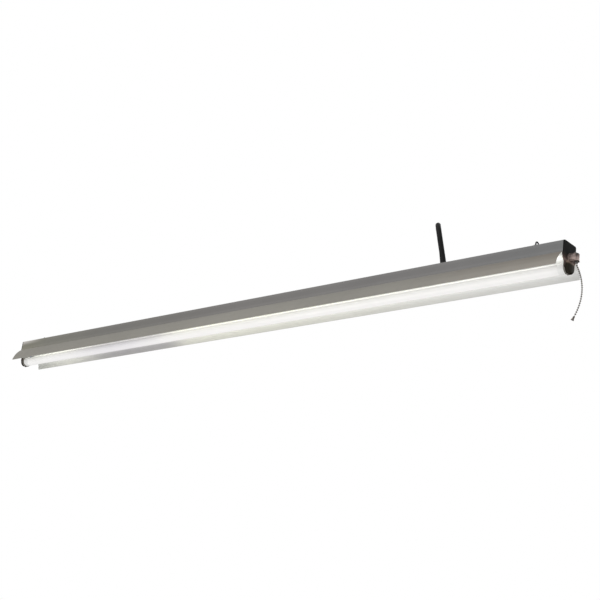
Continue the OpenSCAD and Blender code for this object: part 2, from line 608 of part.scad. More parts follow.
module switch_leads() {
    color([0.1, 0.1, 0.1]) {
        wire([[cx + 46.4, 0, -10.5], [cx + 66, 3, -12.5], [cx + 106, 7, -13.5], [hb - 40, 4.4, -13.5], [hb - 18, 1.8, -14], [hb - 9.5, 1.1, -16.6], [hb - 6.6, 1.1, -19.6], [hb - 3.6, 1.1, sz + 0.1], [bx + 1, 1.1, sz]], 3);
        wire([[ballast_x + bl / 2 + 10, -5, -12.5], [320, -5.4, -13.4], [cx - 20, -7.5, -15], [cx + 60, -7.6, -14.8], [cx + 106, -7, -13.5], [hb - 40, -4.4, -13.5], [hb - 18, -1.8, -14], [hb - 9.5, -1.1, -16.6], [hb - 6.6, -1.1, -19.6], [hb - 3.6, -1.1, sz + 0.1], [bx + 1, -1.1, sz]], 3);
    }
}
module wire_connector() { color([0.85, 0.5, 0.1]) translate([cx + 28, 0, -10.5]) rotate([0, 90, 0]) cylinder(h = 18, r1 = 3, r2 = 4.2); }
module ground_screw() {
    color([0.2, 0.5, 0.25]) {
        translate([gx, 0, -t - 3]) cylinder(h = 2, r = 3.4, $fn = 6);
        translate([gx, 0, -t - 1]) cylinder(h = 1, r = 4.2);
        translate([gx, 0, -t]) cylinder(h = t + 2.6, r = 1.6);
    }
}
module ground_wire() { color([0.2, 0.55, 0.25]) wire([[cx + 1.9, -1.8, -7.9], [cx + 1, -2.8, -10], [cx - 5, -5, -10.4], [gx + 14, -6, -7], [gx + 8, -4.5, -3.6], [gx + 4.4, -1, -2]], 3); }

housing();
reflector_flat();
reflector_wing_front();
reflector_wing_back();
end_plate_right();
end_plate_left();
bridge_brackets();
reflector_screws();
bracket_rivets();
end_plate_screws();
ballast_base();
ballast_cover();
ballast_board();
ballast_terminals();
ballast_screws();
lampholder_right();
lampholder_left();
rotor_right();
rotor_left();
lampholder_contacts();
lamp_tube();
lamp_caps();
lamp_pins();
lamp_stems();
switch_barrel();
switch_ring_nut();
switch_lock_nut();
switch_cap();
switch_core();
switch_drum();
chain_top();
chain_bead();
pull_chain();
chain_bell();
eye_saddles();
eye_pins();
eye_rivets();
eye_right();
eye_left();
strain_relief();
power_cord();
cord_hank();
cord_tail();
hank_tie();
plug_body();
plug_blades();
plug_ground_pin();
lamp_leads_left();
lamp_leads_right();
mains_wires();
switch_leads();
wire_connector();
ground_screw();
ground_wire();
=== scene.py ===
import math
import bpy
import bmesh
from mathutils import Matrix, Vector


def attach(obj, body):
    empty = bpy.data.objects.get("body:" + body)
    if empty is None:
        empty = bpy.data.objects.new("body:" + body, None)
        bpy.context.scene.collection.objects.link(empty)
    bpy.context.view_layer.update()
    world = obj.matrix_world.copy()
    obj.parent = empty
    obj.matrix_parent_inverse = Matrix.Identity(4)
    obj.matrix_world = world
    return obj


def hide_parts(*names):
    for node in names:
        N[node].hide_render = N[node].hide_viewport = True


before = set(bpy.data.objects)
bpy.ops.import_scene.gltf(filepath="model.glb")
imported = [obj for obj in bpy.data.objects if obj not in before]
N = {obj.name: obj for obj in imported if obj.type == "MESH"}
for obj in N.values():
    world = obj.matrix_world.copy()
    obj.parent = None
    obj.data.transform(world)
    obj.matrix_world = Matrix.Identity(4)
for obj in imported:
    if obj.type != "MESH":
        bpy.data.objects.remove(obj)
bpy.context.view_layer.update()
scene = bpy.context.scene


# ------------------------------------------------------------------ camera
cam_data = bpy.data.cameras.new("camera")
cam_data.lens = 80.17
cam_data.sensor_width = 36.0
cam_data.clip_start = 0.02
cam_data.clip_end = 60.0
cam = bpy.data.objects.new("camera", cam_data)
scene.collection.objects.link(cam)
right = Vector((0.75214996, 0.64770542, 0.12144188))
down = Vector((-0.13726292, 0.33422609, -0.932444))
ahead = Vector((-0.64453807, 0.68466825, 0.34029407))
cam.matrix_world = Matrix((
    (right.x, -down.x, -ahead.x, 1.44276),
    (right.y, -down.y, -ahead.y, -1.42398),
    (right.z, -down.z, -ahead.z, -0.71884),
    (0, 0, 0, 1)))
scene.camera = cam


# ------------------------------------------------------------------ node helpers
def new_material(name):
    m = bpy.data.materials.new(name)
    m.use_nodes = True
    nt = m.node_tree
    nt.nodes.clear()
    out = nt.nodes.new("ShaderNodeOutputMaterial")
    b = nt.nodes.new("ShaderNodeBsdfPrincipled")
    nt.links.new(b.outputs[0], out.inputs[0])
    return m, nt, b


def coords(nt):
    return nt.nodes.new("ShaderNodeTexCoord").outputs["Object"]


def noise(nt, at, scale, detail=3.0, rough=0.5, stretch=None):
    if stretch:
        mp = nt.nodes.new("ShaderNodeMapping")
        mp.inputs["Scale"].default_value = stretch
        nt.links.new(at, mp.inputs["Vector"])
        at = mp.outputs[0]
    n = nt.nodes.new("ShaderNodeTexNoise")
    n.inputs["Scale"].default_value = scale
    n.inputs["Detail"].default_value = detail
    n.inputs["Roughness"].default_value = rough
    nt.links.new(at, n.inputs["Vector"])
    return n.outputs["Fac"]


def ramp(nt, fac, stops):
    r = nt.nodes.new("ShaderNodeValToRGB")
    e = r.color_ramp.elements
    while len(e) < len(stops):
        e.new(0.5)
    for k, (p, c) in enumerate(stops):
        e[k].position = p
        e[k].color = (*c, 1) if len(c) == 3 else c
    nt.links.new(fac, r.inputs[0])
    return r.outputs[0]


def spread(nt, fac, a0, a1, b0, b1):
    m = nt.nodes.new("ShaderNodeMapRange")
    m.inputs[1].default_value = a0
    m.inputs[2].default_value = a1
    m.inputs[3].default_value = b0
    m.inputs[4].default_value = b1
    nt.links.new(fac, m.inputs[0])
    return m.outputs[0]


def mixed(nt, fac, a, b, kind="MIX"):
    m = nt.nodes.new("ShaderNodeMix")
    m.data_type = "RGBA"
    m.blend_type = kind
    for sock, v in ((m.inputs[0], fac), (m.inputs[6], a), (m.inputs[7], b)):
        if isinstance(v, bpy.types.NodeSocket):
            nt.links.new(v, sock)
        elif isinstance(v, (int, float)):
            sock.default_value = v
        else:
            sock.default_value = (*v, 1)
    return m.outputs[2]


def mathn(nt, op, a, b=None, clamp=False):
    m = nt.nodes.new("ShaderNodeMath")
    m.operation = op
    m.use_clamp = clamp
    for k, v in ((0, a), (1, b)):
        if v is None:
            continue
        if isinstance(v, bpy.types.NodeSocket):
            nt.links.new(v, m.inputs[k])
        else:
            m.inputs[k].default_value = v
    return m.outputs[0]


def axis_of(nt, at, k):
    s = nt.nodes.new("ShaderNodeSeparateXYZ")
    nt.links.new(at, s.inputs[0])
    return s.outputs[k]


def bump(nt, b, height, strength, distance):
    n = nt.nodes.new("ShaderNodeBump")
    n.inputs["Strength"].default_value = strength
    n.inputs["Distance"].default_value = distance
    nt.links.new(height, n.inputs["Height"])
    nt.links.new(n.outputs[0], b.inputs["Normal"])


def graded(nt, at, axis, lo, hi, stops):
    """A tone that changes along one axis of the model, between lo and hi in millimetres."""
    r = ramp(nt, spread(nt, axis_of(nt, at, axis), lo / 1000, hi / 1000, 0.0, 1.0),
             [((v - lo) / (hi - lo), c if isinstance(c, tuple) else (c, c, c)) for v, c in stops])
    r.node.color_ramp.interpolation = "EASE"
    return r


def added(nt, a, b, wa=1.0, wb=1.0):
    return mathn(nt, "ADD", mathn(nt, "MULTIPLY", a, wa), mathn(nt, "MULTIPLY", b, wb))


def enamel(name, light, dark, rough=(0.32, 0.46), peel=0.12, specular=0.5, coat=0.0, specks=None):
    """Baked enamel on steel: broad unevenness of tone, fine orange peel, faint dust specks."""
    m, nt, b = new_material(name)
    at = coords(nt)
    broad = noise(nt, at, 9.0, 4.0, 0.6)
    col = ramp(nt, broad, [(0.3, dark), (0.7, light)])
    fine = noise(nt, at, 420.0, 2.0, 0.6)
    if specks:
        dots = noise(nt, at, 1500.0, 1.0, 0.4)
        col = mixed(nt, spread(nt, dots, 0.66, 0.74, 0.0, 0.5), col, specks)
    nt.links.new(col, b.inputs["Base Color"])
    nt.links.new(spread(nt, noise(nt, at, 28.0, 5.0, 0.65), 0.3, 0.7, *rough), b.inputs["Roughness"])
    b.inputs["Specular IOR Level"].default_value = specular
    b.inputs["Coat Weight"].default_value = coat
    b.inputs["Coat Roughness"].default_value = 0.2
    bump(nt, b, added(nt, fine, noise(nt, at, 60.0, 2.0), 1.0, 0.6), peel, 0.0003)
    return m, nt, b, at


def metal(name, light, dark, rough=(0.18, 0.34), scale=160.0, stretch=None, grain=0.1, tarnish=None):
    m, nt, b = new_material(name)
    at = coords(nt)
    col = ramp(nt, noise(nt, at, scale, 4.0, 0.6, stretch), [(0.3, dark), (0.7, light)])
    if tarnish:
        spots = noise(nt, at, 90.0, 5.0, 0.7)
        col = mixed(nt, spread(nt, spots, 0.52, 0.7, 0.0, 0.8), col, tarnish)
    nt.links.new(col, b.inputs["Base Color"])
    b.inputs["Metallic"].default_value = 1.0
    nt.links.new(spread(nt, noise(nt, at, scale * 1.7, 4.0, 0.6, stretch), 0.25, 0.75, *rough), b.inputs["Roughness"])
    bump(nt, b, noise(nt, at, scale * 5.0, 3.0, 0.6, stretch), grain, 0.0001)
    return m, nt, b, at


def moulded(name, light, dark, rough=(0.35, 0.55), scale=600.0, grain=0.15, specular=0.5, sheen=0.0):
    m, nt, b = new_material(name)
    at = coords(nt)
    col = ramp(nt, noise(nt, at, 40.0, 4.0, 0.6), [(0.3, dark), (0.7, light)])
    nt.links.new(col, b.inputs["Base Color"])
    nt.links.new(spread(nt, noise(nt, at, 75.0, 4.0, 0.6), 0.3, 0.7, *rough), b.inputs["Roughness"])
    b.inputs["Specular IOR Level"].default_value = specular
    if sheen:
        b.inputs["Sheen Weight"].default_value = sheen
    bump(nt, b, added(nt, noise(nt, at, scale, 3.0, 0.7), noise(nt, at, scale * 0.18, 2.0), 1.0, 0.8), grain, 0.0002)
    return m, nt, b, at


# ------------------------------------------------------------------ materials
# Outside of the housing: satin grey, with painted light laid over it: lighter and warmer towards
# the end without the chain, lighter folds, and painted shade across the middle of the wall.
GREY, nt, b, at = enamel("housing grey", (0.200, 0.200, 0.199), (0.180, 0.179, 0.178), (0.42, 0.58), 0.10, 0.35, specks=(0.15, 0.148, 0.145))
col = b.inputs["Base Color"].links[0].from_socket
# painted light: brightness and warmth change along the length, lightest at the end without the chain
painted_light_along_x = graded(nt, at, 0, -578, 578, [(-578, (1.22, 1.18, 0.94)), (-490, (1.09, 1.06, 0.93)), (-320, (1.0, 0.97, 0.91)), (0, (1.04, 1.0, 0.97)), (330, (1.01, 0.98, 0.965)), (578, (0.95, 0.96, 0.97))])
col = mixed(nt, 1.0, col, painted_light_along_x, "MULTIPLY")
# painted light and shade: the wall is lighter near its top fold and its foot, with painted shade across its middle
painted_wall_light_and_shade = graded(nt, at, 2, -18, 0, [(-18, 1.15), (-14.8, 1.07), (-11, 0.95), (-6.5, 0.95), (-3.4, 1.04), (-1.6, 1.0), (0, 1.0)])
col = mixed(nt, 1.0, col, painted_wall_light_and_shade, "MULTIPLY")
# painted highlight on the top fold near the left end, where the bend catches the light
painted_edge_highlight = mathn(nt, "MULTIPLY", spread(nt, axis_of(nt, at, 0), -0.572, -0.522, 1.0, 0.0), spread(nt, axis_of(nt, at, 2), -0.0085, -0.002, 0.0, 1.3), clamp=True)
nt.links.new(mixed(nt, painted_edge_highlight, col, (0.50, 0.48, 0.45)), b.inputs["Base Color"])

# Reflector: gloss white inside, satin warm grey outside. The side is told by
# the distance from the centre line of each wing's arc.
SHEET, nt, b, at = enamel("reflector enamel", (0.88, 0.88, 0.85), (0.85, 0.85, 0.815), (0.26, 0.38), 0.06, 0.45)
white = b.inputs["Base Color"].links[0].from_socket
# painted shade: the white inside is made darker over a stretch towards the left end
painted_shade_along_x = graded(nt, at, 0, -578, 578, [(-578, (0.80, 0.81, 0.78)), (-490, (1.0, 1.0, 0.96)), (-360, (0.68, 0.67, 0.68)), (-230, (0.70, 0.69, 0.70)), (-160, (1.04, 1.04, 0.98)), (578, (1.0, 1.0, 1.0))])
# painted light: the inside is lightest near the lamp, with painted shade darkening towards the lower lips
painted_lamp_light_by_height = graded(nt, at, 2, -42, -17.8, [(-42, (0.82, 0.82, 0.83)), (-38.5, (0.87, 0.87, 0.885)), (-34.5, (0.96, 0.96, 0.99)), (-31, (1.10, 1.10, 1.13)), (-26, (1.08, 1.08, 1.10)), (-17.8, 1.04)])
white = mixed(nt, 1.0, mixed(nt, 1.0, white, painted_shade_along_x, "MULTIPLY"), painted_lamp_light_by_height, "MULTIPLY")
ay = mathn(nt, "ABSOLUTE", axis_of(nt, at, 1))
dy = mathn(nt, "ADD", ay, 0.009)
dz = mathn(nt, "ADD", axis_of(nt, at, 2), 0.0515)
rad = mathn(nt, "SQRT", mathn(nt, "ADD", mathn(nt, "MULTIPLY", dy, dy), mathn(nt, "MULTIPLY", dz, dz)))
outer = mathn(nt, "GREATER_THAN", rad, 0.0419)
over = mathn(nt, "GREATER_THAN", axis_of(nt, at, 2), -0.0183)
outside = mathn(nt, "MAXIMUM", outer, over)
tone = ramp(nt, noise(nt, at, 11.0, 4.0, 0.6), [(0.3, (0.236, 0.225, 0.198)), (0.7, (0.262, 0.250, 0.220))])
# painted light on the outside: a painted highlight along the top ridge and a lighter lower edge
painted_light_by_height = graded(nt, at, 2, -42, -17.8, [(-42, 1.08), (-37, 1.02), (-29, 0.97), (-22, 0.99), (-19.6, 1.02), (-18.2, 1.28)])
# painted light along the length: the outside gets darker towards the right end
painted_light_along_length = graded(nt, at, 0, -578, 578, [(-578, 1.04), (-330, 0.97), (-60, 1.03), (300, 0.96), (578, (0.87, 0.85, 0.85))])
tone = mixed(nt, 1.0, mixed(nt, 1.0, tone, painted_light_by_height, "MULTIPLY"), painted_light_along_length, "MULTIPLY")
# painted light and shade near the right end: the lower outside is lighter and the upper outside darker
painted_end_light_by_height = graded(nt, at, 2, -42, -17.8, [(-42, (1.30, 1.26, 1.24)), (-36, (1.18, 1.16, 1.14)), (-29, (1.02, 0.99, 0.96)), (-21, (0.90, 0.86, 0.84)), (-17.8, (0.92, 0.90, 0.89))])
tone = mixed(nt, spread(nt, axis_of(nt, at, 0), 0.3, 0.578, 0.0, 1.0), tone, mixed(nt, 1.0, tone, painted_end_light_by_height, "MULTIPLY"))
nt.links.new(mixed(nt, outside, white, tone), b.inputs["Base Color"])
nt.links.new(spread(nt, outside, 0.0, 1.0, 0.3, 0.6), b.inputs["Roughness"])

BLACK, nt, b, at = enamel("black enamel", (0.012, 0.012, 0.011), (0.008, 0.008, 0.007), (0.4, 0.55), 0.16, 0.15)
PLATE, nt, b, at = enamel("end plate enamel", (0.008, 0.008, 0.007), (0.005, 0.005, 0.0045), (0.5, 0.65), 0.16, 0.06)
# painted light: the lower end plate is warm brown as if lit by the lamp, brightest just above the lampholder, near
# black higher up
painted_lamp_light_on_plate = graded(nt, at, 2, -40, 0, [(-40, (0.030, 0.025, 0.020)), (-31, (0.14, 0.105, 0.095)), (-27.5, (0.32, 0.235, 0.215)), (-24, (0.10, 0.07, 0.062)), (-20, (0.030, 0.022, 0.019)), (-15.5, (0.006, 0.006, 0.006)), (0, (0.004, 0.004, 0.004))])
nt.links.new(mixed(nt, 0.82, b.inputs["Base Color"].links[0].from_socket, painted_lamp_light_on_plate), b.inputs["Base Color"])

ZINC, *_ = metal("zinc plate", (0.62, 0.62, 0.60), (0.48, 0.48, 0.47), (0.28, 0.46), 220.0, tarnish=(0.40, 0.39, 0.36))
NICKEL, nt, b, at = metal("nickel plate", (0.30, 0.235, 0.215), (0.15, 0.115, 0.105), (0.14, 0.32), 180.0, grain=0.06, tarnish=(0.07, 0.05, 0.042))
b.inputs["Metallic"].default_value = 0.45
col = b.inputs["Base Color"].links[0].from_socket
# painted light and shade: the barrel's lower side is lit brighter and its top darker, with painted shade under it on
# the spout
painted_light_and_shade_on_barrel = graded(nt, at, 2, -30, -15, [(-30, 0.10), (-28.1, 0.14), (-27.3, 2.4), (-25, 2.0), (-21, 1.2), (-17.5, 0.7), (-15, 0.55)])
col = mixed(nt, 1.0, col, painted_light_and_shade_on_barrel, "MULTIPLY")
# painted shade: a dark ring round the switch cap, strongest on its upper side
painted_ring_shadow = graded(nt, at, 0, 588, 595, [(588, 1.0), (590.2, 0.9), (590.9, 0.10), (591.6, 0.12), (592.2, 0.75), (595, 0.8)])
nt.links.new(mixed(nt, spread(nt, axis_of(nt, at, 2), -0.0235, -0.0195, 0.25, 1.0), col, mixed(nt, 1.0, col, painted_ring_shadow, "MULTIPLY")), b.inputs["Base Color"])
CHAIN, *_ = metal("chain nickel", (0.24, 0.22, 0.20), (0.14, 0.125, 0.115), (0.14, 0.28), 500.0, grain=0.04, tarnish=(0.07, 0.055, 0.045))
BRASS, *_ = metal("brass", (0.80, 0.62, 0.32), (0.66, 0.48, 0.22), (0.18, 0.34), 260.0, (1, 8, 1), 0.05)
ALU, nt, b, at = metal("lamp cap aluminium", (0.95, 0.95, 0.94), (0.88, 0.88, 0.87), (0.42, 0.55), 300.0, (10, 1, 1), 0.05)
b.inputs["Metallic"].default_value = 0.2
# painted glow: the aluminium cap gives off a little light, though a lamp cap does not glow
b.inputs["Emission Color"].default_value = (1.0, 0.99, 0.97, 1)
b.inputs["Emission Strength"].default_value = 0.12
BROWN, nt, b, at = moulded("lampholder plastic", (0.028, 0.023, 0.016), (0.022, 0.018, 0.012), (0.45, 0.6), 500.0, 0.12, 0.10)
# painted light: the lampholder is lighter and browner along its top, as if lit by the lamp
painted_light_on_holder_top = graded(nt, at, 2, -46, -27, [(-46, (0.9, 0.9, 0.9)), (-33.6, (1.0, 1.0, 1.0)), (-32.2, (2.2, 2.0, 2.0)), (-30.6, (8.5, 7.4, 8.6)), (-27, (9.0, 8.0, 9.0))])
nt.links.new(mixed(nt, 1.0, b.inputs["Base Color"].links[0].from_socket, painted_light_on_holder_top, "MULTIPLY"), b.inputs["Base Color"])
FACE, *_ = moulded("lampholder face", (0.30, 0.285, 0.26), (0.20, 0.185, 0.165), (0.4, 0.55), 500.0, 0.12, 0.3)
WHITEP, *_ = moulded("white moulding", (0.80, 0.79, 0.74), (0.72, 0.71, 0.66), (0.35, 0.5))
BLACKP, *_ = moulded("black moulding", (0.016, 0.016, 0.016), (0.010, 0.010, 0.010), (0.45, 0.6), 700.0, 0.2, 0.2)
JACKET, *_ = moulded("cord jacket", (0.012, 0.012, 0.012), (0.008, 0.008, 0.008), (0.5, 0.65), 900.0, 0.22, 0.12)
PLUGM, *_ = moulded("plug vinyl", (0.018, 0.018, 0.019), (0.010, 0.010, 0.011), (0.4, 0.58), 800.0, 0.25, 0.4)
BOARD, *_ = moulded("board laminate", (0.05, 0.20, 0.08), (0.03, 0.14, 0.05), (0.3, 0.45))
COVER, *_ = enamel("ballast enamel", (0.70, 0.70, 0.67), (0.64, 0.64, 0.61), (0.35, 0.5))
SCREWG, *_ = metal("green screw", (0.10, 0.42, 0.16), (0.06, 0.30, 0.10), (0.3, 0.45))
WIRES = {
    "lamp_leads_left": moulded("wire blue", (0.05, 0.11, 0.42), (0.04, 0.08, 0.34))[0],
    "lamp_leads_right": moulded("wire red", (0.45, 0.03, 0.02), (0.36, 0.02, 0.02))[0],
    "mains_wires": moulded("wire white", (0.80, 0.80, 0.77), (0.70, 0.70, 0.67))[0],
    "switch_leads": moulded("wire black", (0.02, 0.02, 0.02), (0.012, 0.012, 0.012))[0],
    "ground_wire": moulded("wire green", (0.04, 0.32, 0.08), (0.03, 0.25, 0.06))[0],
    "wire_connector": moulded("connector orange", (0.75, 0.24, 0.03), (0.65, 0.19, 0.02))[0],
}

# The lit lamp: white phosphor seen through glass; its glow carries painted shade along the length and along the tube's
# upper side.
GLASS, nt, b = new_material("lamp phosphor")
at = coords(nt)
b.inputs["Roughness"].default_value = 0.12
b.inputs["Coat Weight"].default_value = 0.6
b.inputs["Coat Roughness"].default_value = 0.05
nt.links.new(ramp(nt, noise(nt, at, 30.0, 3.0), [(0.3, (0.80, 0.79, 0.78)), (0.7, (0.83, 0.82, 0.81))]), b.inputs["Base Color"])
# painted light and shade: the glow changes along the length, dimmer at the right end and over a stretch left of the
# middle
lamp_glow_with_painted_shade = graded(nt, at, 0, -578, 578, [(-574, (1.15, 1.15, 1.15)), (-540, (1.05, 1.05, 1.05)), (-470, (1.04, 1.03, 1.06)), (-330, (0.80, 0.77, 0.86)), (-150, (1.12, 1.10, 1.09)), (540, (1.08, 1.07, 1.06)), (574, (0.90, 0.89, 0.88))])
# painted shade: the glow is dimmer in a band along the upper side of the tube
painted_shade_band = graded(nt, at, 2, -44, -28, [(-44, 1.05), (-40.5, 1.05), (-36.5, 0.88), (-32.8, 0.32), (-31, 0.55), (-29, 0.85), (-28, 0.9)])
nt.links.new(mixed(nt, 1.0, lamp_glow_with_painted_shade, painted_shade_band, "MULTIPLY"), b.inputs["Emission Color"])
b.inputs["Emission Strength"].default_value = 0.3

STEM, nt, b = new_material("stem glass")
at = coords(nt)
nt.links.new(ramp(nt, noise(nt, at, 200.0), [(0.3, (0.7, 0.72, 0.7)), (0.7, (0.8, 0.82, 0.8))]), b.inputs["Base Color"])
b.inputs["Transmission Weight"].default_value = 0.8
b.inputs["Roughness"].default_value = 0.08


# ------------------------------------------------------------------ mesh helpers (millimetres in, metres out)
def piece(name, verts, faces, mat, body=None, replaces=(), angle=35):
    me = bpy.data.meshes.new(name)
    me.from_pydata([(x / 1000, y / 1000, z / 1000) for x, y, z in verts], [], faces)
    me.validate()
    bm = bmesh.new()
    bm.from_mesh(me)
    bmesh.ops.remove_doubles(bm, verts=bm.verts, dist=1e-7)
    bmesh.ops.recalc_face_normals(bm, faces=bm.faces)
    bm.to_mesh(me)
    bm.free()
    ob = bpy.data.objects.new(name, me)
    scene.collection.objects.link(ob)
    me.materials.append(mat)
    smooth(ob, angle)
    if body:
        settle(ob, body, replaces)
    return ob


def settle(ob, body, replaces=()):
    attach(ob, body)
    if replaces:
        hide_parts(*replaces)
    return ob


def smooth(ob, angle=35):
    me = ob.data
    me.polygons.foreach_set("use_smooth", [True] * len(me.polygons))
    me.set_sharp_from_angle(angle=math.radians(angle))


def bake(ob):
    bpy.context.view_layer.update()
    dg = bpy.context.evaluated_depsgraph_get()
    me = bpy.data.meshes.new_from_object(ob.evaluated_get(dg), preserve_all_data_layers=True, depsgraph=dg)
    ob.modifiers.clear()
    old = ob.data
    ob.data = me
    bpy.data.meshes.remove(old)


def drop(ob):
    me = ob.data
    bpy.data.objects.remove(ob)
    bpy.data.meshes.remove(me)


def cut(ob, *cutters, op="DIFFERENCE"):
    for c in cutters:
        m = ob.modifiers.new("cut", "BOOLEAN")
        m.operation = op
        m.solver = "EXACT"
        m.object = c
    bake(ob)
    for c in cutters:
        drop(c)
    bm = bmesh.new()
    bm.from_mesh(ob.data)
    bmesh.ops.dissolve_degenerate(bm, edges=bm.edges, dist=1e-7)
    bmesh.ops.remove_doubles(bm, verts=bm.verts, dist=2e-7)
    bm.to_mesh(ob.data)
    bm.free()
    return ob


def soften(ob, width, segments=2, angle=32, shade=40):
    m = ob.modifiers.new("edge", "BEVEL")
    m.width = width / 1000
    m.segments = segments
    m.limit_method = "ANGLE"
    m.angle_limit = math.radians(angle)
    m.miter_outer = "MITER_ARC"
    m.use_clamp_overlap = True
    bake(ob)
    smooth(ob, shade)
    w = ob.modifiers.new("normals", "WEIGHTED_NORMAL")
    w.keep_sharp = True
    bake(ob)
    return ob


def arc(cy, cz, r, a0, a1, n):
    return [(cy + r * math.cos(math.radians(a0 + (a1 - a0) * k / n)), cz + r * math.sin(math.radians(a0 + (a1 - a0) * k / n))) for k in range(n + 1)]


def along(profile, xs):
    """Verts and faces of a closed Y-Z outline carried along the stations xs."""
    n = len(profile)
    v = [(x, y, z) for x in xs for y, z in profile]
    f = [(i * n + j, i * n + (j + 1) % n, (i + 1) * n + (j + 1) % n, (i + 1) * n + j) for i in range(len(xs) - 1) for j in range(n)]
    f += [tuple(range(n - 1, -1, -1)), tuple((len(xs) - 1) * n + j for j in range(n))]
    return v, f


def turned(profile, n=48, at=(0, 0, 0), axis="X", tilt=None, closed=False):
    """Verts and faces of the outline [(distance along the axis, radius)] turned round it."""
    v, rings = [], []
    for a, r in profile:
        if r < 1e-6:
            rings.append([len(v)])
            v.append((a, 0, 0))
        else:
            rings.append(list(range(len(v), len(v) + n)))
            v += [(a, r * math.cos(2 * math.pi * k / n), r * math.sin(2 * math.pi * k / n)) for k in range(n)]
    f = []
    pairs = list(zip(rings, rings[1:])) + ([(rings[-1], rings[0])] if closed else [])
    for p, q in pairs:
        for k in range(n):
            a, b2 = p[k % len(p)], p[(k + 1) % len(p)]
            c, d = q[(k + 1) % len(q)], q[k % len(q)]
            face = []
            for w in (a, b2, c, d):
                if w not in face:
                    face.append(w)
            if len(face) > 2:
                f.append(tuple(face))
    rot = {"X": Matrix.Identity(3), "Y": Matrix(((0, -1, 0), (1, 0, 0), (0, 0, 1))), "Z": Matrix(((0, 0, -1), (0, 1, 0), (1, 0, 0)))}[axis]
    if tilt is not None:
        rot = tilt @ rot
    o = Vector(at)
    return [tuple(rot @ Vector(p) + o) for p in v], f


def rod(name, r, h, at, axis="X", n=32, mat=None):
    v, f = turned([(0, 0), (0, r), (h, r), (h, 0)], n, at, axis)
    return piece(name, v, f, mat or BLACKP)


def block(name, lo, hi, mat=None):
    (a, b_, c), (d, e, f_) = lo, hi
    v = [(a, b_, c), (d, b_, c), (d, e, c), (a, e, c), (a, b_, f_), (d, b_, f_), (d, e, f_), (a, e, f_)]
    f = [(0, 3, 2, 1), (4, 5, 6, 7), (0, 1, 5, 4), (1, 2, 6, 5), (2, 3, 7, 6), (3, 0, 4, 7)]
    return piece(name, v, f, mat or BLACKP)


def grouped(name, parts, mat, angle=35):
    """One mesh made of separate closed shells, such as a row of beads."""
    v, f = [], []
    for pv, pf in parts:
        o = len(v)
        v += pv
        f += [tuple(k + o for k in face) for face in pf]
    return piece(name, v, f, mat, angle=angle)


# ------------------------------------------------------------------ sizes of the model, in millimetres
HB, HX = 577.0, 578.5
LZ, SZ = -36.0, -21.8
BX, KX, VX, MOUTH = 580.3, 587.4, 590.3, -29.2
CX, LEAN, RC = 374.0, 14.5, 4.0


# ------------------------------------------------------------------ supply cord
CORD = [(1.8, 0, -7), (0, 0, 0), (-2.6, 0, 10), (-5.7, 0, 22), (-9.4, 0, 36), (-13, 0, 50),
        (-18.5, 3, 64), (-26, 11.2, 74), (-34, 22.4, 78), (-40, 33.6, 74), (-42.5, 41.7, 64), (-40.7, 44.7, 50),
        (-34.8, 40.4, 35), (-28.5, 36.3, 19.2), (-18.3, 34.6, 6.4), (-4, 34.4, 2.2)]
HX0, HZ0, RUN, LOOP = 378.0, -2.0, 62.5, 21.0
LAYERS = [34.4, 42.6, 50.8, 59.0]


def flare(u):
    s = min(1, max(0, (abs(u) - 11) / (RUN - 11)))
    return 4.1 + (LOOP - 4.1) * (1 - math.cos(math.pi * s)) / 2


def hank_route():
    """The tied figure of runs and end loops, layer behind layer, and the tail to the plug."""
    p = []
    us = [8, 18, 28, 38, 48, 56]
    for k in range(3):
        y0, y1 = LAYERS[k], LAYERS[k + 1]
        p += [(HX0 + u, y0, HZ0 + flare(u)) for u in us]
        p += [(HX0 + RUN + LOOP * math.cos(math.radians(a)), y0, HZ0 + LOOP * math.sin(math.radians(a))) for a in range(90, -91, -15)]
        p += [(HX0 + u, y0, HZ0 - flare(u)) for u in us[::-1] + [0] + [-u for u in us]]
        for a in range(270, 89, -15):
            s = (270 - a) / 180
            p.append((HX0 - RUN + LOOP * math.cos(math.radians(a)), y0 + (y1 - y0) * (3 * s * s - 2 * s ** 3), HZ0 + LOOP * math.sin(math.radians(a))))
        p += [(HX0 - u, y1, HZ0 + flare(u)) for u in us[::-1]] + ([(HX0, y1, HZ0 + 4.1)] if k < 2 else [])
    p += [(HX0 + 4, 59, HZ0 + 4.0), (HX0 + 22, 59, HZ0 + 2.9), (HX0 + 45, 59, HZ0 + 1.3), (HX0 + 70, 59, HZ0 + 0.3), (HX0 + 90, 59, HZ0), (HX0 + 108, 59, HZ0)]
    return p


def smooth_route(pts, n):
    out = []
    P = [Vector(p) for p in pts]
    for i in range(len(P) - 1):
        a, b_, c, d = P[max(i - 1, 0)], P[i], P[i + 1], P[min(i + 2, len(P) - 1)]
        for k in range(n):
            s = k / n
            out.append(0.5 * (2 * b_ + (c - a) * s + (2 * a - 5 * b_ + 4 * c - d) * s * s + (3 * b_ - a - 3 * c + d) * s ** 3))
    return out + [P[-1]]


route = smooth_route([(x + CX, y, z) for x, y, z in CORD] + hank_route(), 4)
cord_length = sum((q - p).length for p, q in zip(route, route[1:])) / 1000
cu = bpy.data.curves.new("supply_cord", "CURVE")
cu.dimensions = "3D"
cu.bevel_depth = RC / 1000
cu.bevel_resolution = 6
cu.use_fill_caps = True
sp = cu.splines.new("POLY")
sp.points.add(len(route) - 1)
for q, w in zip(sp.points, route):
    q.co = (w.x / 1000, w.y / 1000, w.z / 1000, 1)
sp.use_smooth = True
cu.materials.append(JACKET)
cord = bpy.data.objects.new("supply_cord", cu)
scene.collection.objects.link(cord)
settle(cord, "light", ("power_cord", "cord_hank", "cord_tail"))

